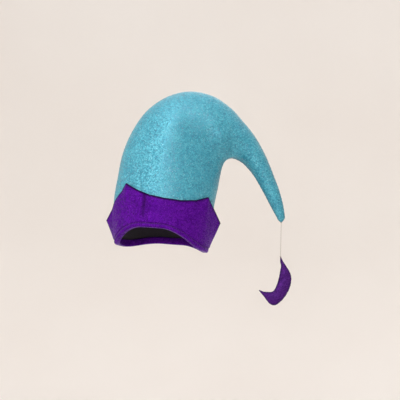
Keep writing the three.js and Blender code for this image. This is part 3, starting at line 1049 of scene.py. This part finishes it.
def cuff_section(i, share):
    """One section of the cuff: its turn, its points and, for each point, how far it lies above the hem
    and below the free edge in millimetres, and on which face."""
    turn = mixed(CUFF_ROWS[i]["turn"], CUFF_ROWS[i + 1]["turn"], share)
    low = hem_height(turn)
    seat = low + CUFF_WALL
    edge_point = cuff_edge(i, share)
    high = edge_point.z
    foot = beside_crown(turn, seat, 0, CLEARANCE)
    points, facts = [], []

    def wall(height, off, face):
        up = max(0, (height - seat) / (high - seat))
        point = clear_of_crown(foot.lerp(edge_point, up))
        point.z = height
        points.append(point + outward(turn) * off)
        facts.append(((height - low) / MM, (high - height) / MM, face))

    def lip(height, off):
        points.append(beside_crown(turn, height, FOAM_WALL, -CLEARANCE - off))
        facts.append(((height - low) / MM, (high - height) / MM, UNDER_FACE))

    for k in range(HEM_STEPS):
        wall(low + mixed(HEM_ROUND, HEM_BAND, k / HEM_STEPS), CUFF_WALL, OUTER_FACE)
    for k in range(WALL_STEPS):
        wall(mixed(low + HEM_BAND, high - EDGE_ROUND, k / WALL_STEPS), CUFF_WALL, OUTER_FACE)
    for k in range(FREE_EDGE_STEPS + 1):
        angle = k / FREE_EDGE_STEPS * math.pi
        height = high - EDGE_ROUND + EDGE_ROUND * math.sin(angle)
        face = OUTER_FACE if k < FREE_EDGE_STEPS / 2 else INNER_FACE
        wall(height, CUFF_WALL / 2 * (1 + math.cos(angle)), face)
    for k in reversed(range(INNER_STEPS)):
        wall(mixed(seat, high - EDGE_ROUND, k / INNER_STEPS), 0, INNER_FACE)
    for k in range(LIP_STEPS + 1):
        lip(mixed(seat, low + LIP_HEIGHT, k / LIP_STEPS), 0)
    bead = LIP_WALL / 2
    for k in range(1, BEAD_STEPS):
        angle = k / BEAD_STEPS * math.pi
        lip(low + LIP_HEIGHT + bead * math.sin(angle), bead * (1 - math.cos(angle)))
    for k in reversed(range(LIP_BACK_STEPS + 1)):
        lip(mixed(low + HEM_ROUND, low + LIP_HEIGHT, k / LIP_BACK_STEPS), LIP_WALL)
    for k in range(1, FOLD_STEPS + 1):
        angle = k / FOLD_STEPS * QUARTER_TURN
        lip(low + HEM_ROUND * (1 - math.sin(angle)), LIP_WALL - HEM_ROUND * (1 - math.cos(angle)))
    for k in range(FOLD_STEPS):
        angle = k / FOLD_STEPS * QUARTER_TURN
        off = CUFF_WALL - HEM_ROUND * (1 - math.sin(angle))
        wall(low + HEM_ROUND * (1 - math.cos(angle)), off, UNDER_FACE)
    return turn, points[::-1], facts[::-1]


def cuff_relief(turns, grid, up, below):
    """How far the cuff's outer face stands out in millimetres, and how dark it is made by shade painted
    at its free edge, groove, side seams and join.
    """

    def round_from(turn):
        return (turns[:, None] - turn) * DEGREE_LENGTH

    corner = np.minimum.reduce([np.abs(round_from(turn)) for turn in CORNER_TURNS])
    join = round_from(JOIN_TURN) - JOIN_LEAN * ramped(up, *JOIN_LEAN_FROM)
    joined = ramped(up, *JOIN_FROM)
    relief = humps(up, HEM_HUMPS) + puckers(grid, round_from(0), up, **CUFF_PUCKERS)
    relief += humps(corner, CORNER_HUMPS) + humps(join, JOIN_HUMPS) * joined
    belly = hump(turns[:, None] - BELLY_TURN, BELLY_DEGREES) * hump(up - BELLY_UP, BELLY_HIGH)
    relief += BELLY_RISE * belly
    for turn, lean in CREASES:
        crease = round_from(turn) + lean * np.clip(below / CREASE_LEAN_OVER, 0, 1)
        relief += CREASE_RISE * hump(crease, CREASE_WIDE) * (1 - ramped(below, *CREASE_FADE))
    relief += waves(grid, CUFF_BROAD_WAVES) * ramped(up, *CUFF_WAVES_FROM)
    relief += waves(grid, CUFF_FINE_WAVES)
    # Painted shade: a shadow along the free edge, and shade in the hem's groove, the side seams and the
    # join
    dark = EDGE_SHADOW * (1 - ramped(below, *EDGE_SHADOW_FADE))
    dark = np.maximum(dark, GROOVE_SHADOW * hump(up - GROOVE_UP, GROOVE_WIDE))
    dark = np.maximum(dark, humps(corner, CORNER_SHADOWS))
    dark = np.maximum(dark, humps(join, JOIN_SHADOWS) * joined)
    return relief * ramped(below, *EDGE_FADE), dark


def make_cuff(cloth):
    """The cuff, and the line of its stitched groove."""
    turns, grid, facts = [], [], []
    for i in range(len(CUFF_ROWS) - 1):
        steps = round((CUFF_ROWS[i + 1]["turn"] - CUFF_ROWS[i]["turn"]) / CUFF_RING_DEGREES)
        for k in range(steps):
            turn, points, said = cuff_section(i, k / steps)
            turns.append(turn)
            grid.append([tuple(p) for p in points])
            facts.append(said)
    turns, grid = np.array(turns), np.array(grid)
    up, below, face = np.moveaxis(np.array(facts), 2, 0)
    outer = face == OUTER_FACE
    relief, dark = cuff_relief(turns, grid, up, below)
    out = np.array([tuple(outward(turn)) for turn in turns])[:, None]
    grid = grid + out * (relief * outer * MM)[..., None]
    faces = ring_faces(len(grid), grid.shape[1], close=True)
    piece = new_piece("cuff_cloth", grid.reshape(-1, 3), faces, [cloth])
    inner_edge = (face == INNER_FACE) & (below < INNER_EDGE_WIDE)
    mark_points(piece, "seam", np.maximum(dark * outer, INNER_EDGE_SHADOW * inner_edge).reshape(-1))
    groove = np.argmin(np.abs(up - GROOVE_UP) * MM + ~outer, axis=1)
    return piece, [Vector(ring[k]) for ring, k in zip(grid, groove)]


# The stitches


def stitch_tree(material):
    """Geometry nodes that sew a row of stitches along a path."""
    tree = bpy.data.node_groups.new("hem_stitching", "GeometryNodeTree")
    face = tree.interface
    face.new_socket("Geometry", in_out="INPUT", socket_type="NodeSocketGeometry")
    for name in ("Spacing", "Stitch Length", "Thread Width"):
        face.new_socket(name, in_out="INPUT", socket_type="NodeSocketFloat")
    face.new_socket("Seed", in_out="INPUT", socket_type="NodeSocketInt")
    face.new_socket("Geometry", in_out="OUTPUT", socket_type="NodeSocketGeometry")

    def add(kind, settings=None, values=None):
        return add_node(tree, kind, settings, values).outputs

    given = add("NodeGroupInput")
    path = add("GeometryNodeMeshToCurve", {}, {"Mesh": given["Geometry"]})
    even = {"Curve": path[0], "Length": given["Spacing"]}
    even = add("GeometryNodeResampleCurve", {"mode": "LENGTH"}, even)
    along = add("GeometryNodeInputTangent")
    turned = add("FunctionNodeAlignRotationToVector", {"axis": "X"}, {"Vector": along[0]})
    chance = {0: STITCH_LEAST, 1: STITCH_MOST, "Seed": given["Seed"]}
    chance = add("FunctionNodeRandomValue", {"data_type": "FLOAT_VECTOR"}, chance)
    bead = {"Segments": STITCH_SEGMENTS, "Rings": STITCH_RINGS, "Radius": 0.5}
    bead = add("GeometryNodeMeshUVSphere", {}, bead)
    size = {"X": given["Stitch Length"], "Y": given["Thread Width"], "Z": given["Thread Width"]}
    size = add("ShaderNodeCombineXYZ", {}, size)
    size = add("ShaderNodeVectorMath", {"operation": "MULTIPLY"}, {0: size[0], 1: chance[0]})
    sewn = {"Points": even[0], "Instance": bead[0], "Rotation": turned[0], "Scale": size[0]}
    sewn = add("GeometryNodeInstanceOnPoints", {}, sewn)
    real = add("GeometryNodeRealizeInstances", {}, {0: sewn[0]})
    shaded = add("GeometryNodeSetShadeSmooth", {}, {0: real[0]})
    coloured = add("GeometryNodeSetMaterial", {}, {"Geometry": shaded[0], "Material": material})
    add("NodeGroupOutput", {}, {0: coloured[0]})
    return tree


def make_stitches(name, path, material):
    """A closed row of stitches along a path, as a plain mesh."""
    mesh = bpy.data.meshes.new(name + "_path")
    edges = [(i, (i + 1) % len(path)) for i in range(len(path))]
    mesh.from_pydata([tuple(p) for p in path], edges, [])
    maker = placed(name + "_path", mesh)
    tree = stitch_tree(material)
    sewing = maker.modifiers.new("sewing", "NODES")
    sewing.node_group = tree
    sizes = {
        "Spacing": STITCH_SPACING,
        "Stitch Length": STITCH_LENGTH,
        "Thread Width": STITCH_WIDTH,
        "Seed": STITCH_SEED,
    }
    for item in tree.interface.items_tree:
        if item.in_out == "INPUT" and item.name in sizes:
            sewing[item.identifier] = sizes[item.name]
    bpy.context.view_layer.update()
    ready = maker.evaluated_get(bpy.context.evaluated_depsgraph_get())
    sewn = bpy.data.meshes.new_from_object(ready)
    sewn.name = name
    piece = placed(name, sewn)
    maker.modifiers.remove(sewing)
    bpy.data.objects.remove(maker)
    return piece


# The thread and its knots


def make_thread(material):
    """The hanging thread, and the points of its way."""
    start = tip_point()
    start.z -= CLEARANCE
    way = [Vector((start.x, 0, start.z - share * THREAD_LENGTH)) for share in THREAD_WAY]
    line = bpy.data.curves.new("hanging_thread", "CURVE")
    line.dimensions = "3D"
    line.bevel_depth = THREAD_DIAMETER / 2
    line.bevel_resolution = 4
    line.resolution_u = 4
    line.use_fill_caps = True
    strand = line.splines.new("POLY")
    strand.points.add(len(way) - 1)
    for point, place in zip(strand.points, way):
        point.co = (*place, 1)
    line.materials.append(material)
    return placed("hanging_thread", line), way


def knot_way(share):
    """A place on the way of a strand that winds over and under itself, a trefoil."""
    a = share * FULL_TURN
    across = math.sin(a) + 2 * math.sin(2 * a)
    deep = math.cos(a) - 2 * math.cos(2 * a)
    third = KNOT_RADIUS / 3
    return Vector((across * third, deep * third, -math.sin(3 * a) * KNOT_RADIUS * KNOT_FLATNESS))


def make_knot(name, middle, material):
    """A small sewn knot of one strand."""
    points = []
    for i in range(KNOT_RINGS):
        here, ahead = knot_way(i / KNOT_RINGS), knot_way((i + 1) / KNOT_RINGS)
        forward = (ahead - here).normalized()
        side = forward.cross(KNOT_LEAN).normalized()
        up = side.cross(forward)
        for k in range(KNOT_SIDES):
            a = k / KNOT_SIDES * FULL_TURN
            points.append(middle + here + (side * math.cos(a) + up * math.sin(a)) * KNOT_STRAND / 2)
    return new_piece(name, points, ring_faces(KNOT_RINGS, KNOT_SIDES, close=True), [material])


# The crescent


def crescent_place(side, down):
    """A place in the crescent's plane, from shares of its size, seen from its upper tip."""
    return Vector((side * CRESCENT_WIDTH, 0, -down * CRESCENT_HEIGHT))


def fuller(share):
    """A sine or cosine that makes a section squarer than round."""
    return math.copysign(abs(share) ** CRESCENT_FULL, share)


def crescent_ring(u, sides, thickness):
    """One ring of the crescent at place u of its table, and the middle of the ring."""
    get = {name: smooth(values, u) for name, values in CRESCENT.items()}
    outer = crescent_place(get["outSide"], get["outDown"])
    inner = crescent_place(get["inSide"], get["inDown"])
    middle, reach = (outer + inner) / 2, (outer - inner) / 2
    half = get["thick"] * CRESCENT_THICKNESS / 2
    ring = []
    for k in range(sides):
        around = k / sides * FULL_TURN
        point = middle + reach * fuller(math.cos(around))
        point.y = -half * fuller(math.sin(around)) * thickness
        ring.append(point)
    return ring, middle


def crescent_rings(steps, sides, thickness):
    """The crescent's rings between its two tips, so many to a row of its table."""
    places = [i / steps for i in range(CRESCENT_LAST * steps + 1)]
    return [crescent_ring(u, sides, thickness)[0] for u in places]


def crescent_tip(point, u, roundness):
    """Rings that grow from a tip's point to the full ring at place u."""
    full_ring, middle = crescent_ring(u, CRESCENT_SIDES, SLACK_THICKNESS)
    rings = []
    for i in range(1, CRESCENT_TIP_RINGS):
        share = (i / CRESCENT_TIP_RINGS) ** CRESCENT_TIP_CROWDING
        size = share**roundness
        rings.append([point.lerp(middle, share) + (p - middle) * size for p in full_ring])
    return rings


def crescent_turn():
    """The turn that brings the crescent's weight right below the thread, found on its plain shape."""
    rings = crescent_rings(PLAIN_CRESCENT_STEPS, PLAIN_CRESCENT_SIDES, 1)
    corners = [p for ring in rings for p in ring]
    corners += [Vector((0, 0, 0)), crescent_place(*CRESCENT_END)]
    centre, volume = Vector((0, 0, 0)), 0
    for face in closed_faces(len(rings), PLAIN_CRESCENT_SIDES):
        for b, c in zip(face[1:], face[2:]):
            triangle = [corners[k] for k in (face[0], b, c)]
            part = triangle[0].dot(triangle[1].cross(triangle[2])) / 6
            volume += part
            centre += (triangle[0] + triangle[1] + triangle[2]) * (part / 4)
    centre /= volume
    return math.atan2(centre.x, -centre.z)


def stuffed(points, faces, sewn):
    """The crescent's skin pressed out by its stuffing, with its seams held: a cloth simulation."""
    skin = new_piece("slack_skin", points * STUFFING_SCALE, faces, [])
    skin.vertex_groups.new(name="sewn").add(sewn, 1, "REPLACE")
    filling = skin.modifiers.new("stuffing", "CLOTH")
    for name, value in STUFFING.items():
        setattr(filling.settings, name, value)
    filling.settings.effector_weights.gravity = 0
    filling.point_cache.frame_start = 1
    filling.point_cache.frame_end = STUFFING_FRAMES
    for step in range(1, STUFFING_FRAMES + 1):
        bpy.context.scene.frame_set(step)
    ready = skin.evaluated_get(bpy.context.evaluated_depsgraph_get())
    flat = np.empty(len(points) * 3)
    ready.data.vertices.foreach_get("co", flat)
    bpy.context.scene.frame_set(1)
    bpy.data.objects.remove(skin)
    moved = flat.reshape(-1, 3) / STUFFING_SCALE - points
    moved *= (SIDEWAYS_SHARE, 1, SIDEWAYS_SHARE)
    far = np.linalg.norm(moved, axis=1, keepdims=True)
    return points + moved * np.minimum(1, STUFFING_REACH / np.maximum(far, NO_LENGTH))


def make_crescent(cloth):
    """The padded crescent, and the place of its upper tip."""
    tip, end = Vector((0, 0, 0)), crescent_place(*CRESCENT_END)
    rings = crescent_tip(tip, 0, UPPER_TIP_ROUND)
    rings += crescent_rings(CRESCENT_STEPS, CRESCENT_SIDES, SLACK_THICKNESS)
    rings += reversed(crescent_tip(end, CRESCENT_LAST, LOWER_TIP_ROUND))
    grid = np.array([[tuple(p) for p in ring] for ring in rings])
    seams = (0, CRESCENT_SIDES // 2)
    count = len(grid) * CRESCENT_SIDES
    tip_count = CRESCENT_TIP_RINGS * CRESCENT_SIDES
    faces = closed_faces(len(grid), CRESCENT_SIDES)
    skin = np.array([*grid.reshape(-1, 3), tuple(tip), tuple(end)])
    sewn = [ring * CRESCENT_SIDES + k for ring in range(len(grid)) for k in seams]
    sewn += [*range(tip_count), *range(count - tip_count, count + 2)]
    grid = stuffed(skin, faces, sewn)[:count].reshape(grid.shape)
    near, along = from_seams(grid, seams)
    relief = humps(near, CRESCENT_SEAM_HUMPS) + puckers(grid, along, near, **CRESCENT_PUCKERS)
    relief += waves(grid, CRESCENT_WAVES)
    grid = raised(grid, relief * faded(len(grid), CRESCENT_TIP_RINGS, CRESCENT_TIP_RINGS))
    hang = Matrix.Rotation(crescent_turn(), 4, "Y")
    start = tip_point()
    start.z -= THREAD_LENGTH + 2 * CLEARANCE
    points = [hang @ Vector(p) + start for p in (*grid.reshape(-1, 3), tip, end)]
    piece = new_piece("padded_crescent", points, faces, [cloth])
    shadow = seam_shadow(near, CRESCENT_SEAM_SHADOWS)
    mark_points(piece, "seam", [*shadow.reshape(-1), CRESCENT_TIP_SHADOW, CRESCENT_TIP_SHADOW])
    return piece, start


# The floor and wall


def make_room(material):
    """A pale round floor that curves up into a wall all round."""
    floor_radius = FLOOR_RINGS[-1]
    profile = [(radius, FLOOR_LEVEL) for radius in FLOOR_RINGS]
    for k in range(1, WALL_CURVE_STEPS + 1):
        a = k / WALL_CURVE_STEPS * QUARTER_TURN
        rise = WALL_CURVE * (1 - math.cos(a))
        profile.append((floor_radius + WALL_CURVE * math.sin(a), FLOOR_LEVEL + rise))
    profile += [(floor_radius + WALL_CURVE, height) for height in WALL_HEIGHTS]
    points = []
    for radius, height in profile:
        for k in range(ROOM_SIDES):
            a = k / ROOM_SIDES * FULL_TURN
            points.append((radius * math.cos(a), radius * math.sin(a), height))
    faces = [face[::-1] for face in ring_faces(len(profile), ROOM_SIDES)]
    faces += [(len(points), k, (k + 1) % ROOM_SIDES) for k in range(ROOM_SIDES)]
    points.append((0, 0, FLOOR_LEVEL))
    room = new_piece("floor_and_wall", points, faces, [material])


# The hat

make_camera()
make_light()

pale_thread = sewing_thread(
    "pale_thread_twist", (138, 129, 120), (194, 185, 176), middle=tip_point(), lay=1.3 * MM
)
violet_thread = sewing_thread(
    "violet_thread_twist", (52, 16, 84), (116, 60, 150), middle=(0, 0, 0), lay=0.9 * MM
)
turquoise = glitter(
    "turquoise_glitter_cloth",
    shades=((14, 97, 126), (38, 147, 174), (104, 199, 216)),
    painted_glint=(196, 240, 250),
    shadow=(38, 72, 86),
    flake=1.05 * MM,
    clump=2.9 * MM,
    metal=0.09,
    lean=0.42,
    gloss=0.75,
    painted_glint_share=0.5,
    edge=(1, 1, 1),
)
purple = glitter(
    "purple_glitter_cloth",
    shades=((48, 6, 84), (76, 8, 134), (110, 28, 172)),
    painted_glint=(168, 84, 222),
    shadow=(24, 4, 42),
    flake=1.05 * MM,
    clump=2.9 * MM,
    metal=0.132,
    lean=0.42,
    gloss=0.08,
    painted_glint_share=0.4,
    edge=(0.5, 0.28, 0.8),
)
violet = glitter(
    "violet_padded_cloth",
    shades=((44, 13, 72), (68, 26, 108), (94, 44, 140)),
    painted_glint=(150, 96, 190),
    shadow=(22, 7, 38),
    flake=0.9 * MM,
    clump=2.2 * MM,
    metal=0.072,
    lean=0.35,
    gloss=0.14,
    painted_glint_share=0.35,
    edge=(0.6, 0.4, 0.85),
)
backing = backing_cloth("dark_backing_cloth", (22, 18, 26), (58, 50, 64))
wall_paint = plaster("pale_plaster", (236, 231, 227), (241, 238, 235))

thread, thread_way = make_thread(pale_thread)
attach(thread, "drop")
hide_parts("thread")

crescent, crescent_top = make_crescent(violet)
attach(crescent, "drop")
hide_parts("crescent")

lower_knot = make_knot("crescent_knot", crescent_top + KNOT_SUNK, pale_thread)
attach(lower_knot, "drop")

upper_knot = make_knot("tip_knot", tip_point() - KNOT_SUNK, pale_thread)
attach(upper_knot, "hat")

crown = make_crown(turquoise, backing)
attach(crown, "hat")
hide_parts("crown")

cuff, groove_path = make_cuff(purple)
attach(cuff, "hat")
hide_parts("cuff")

stitches = make_stitches("hem_stitches", groove_path, violet_thread)
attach(stitches, "hat")

make_room(wall_paint)
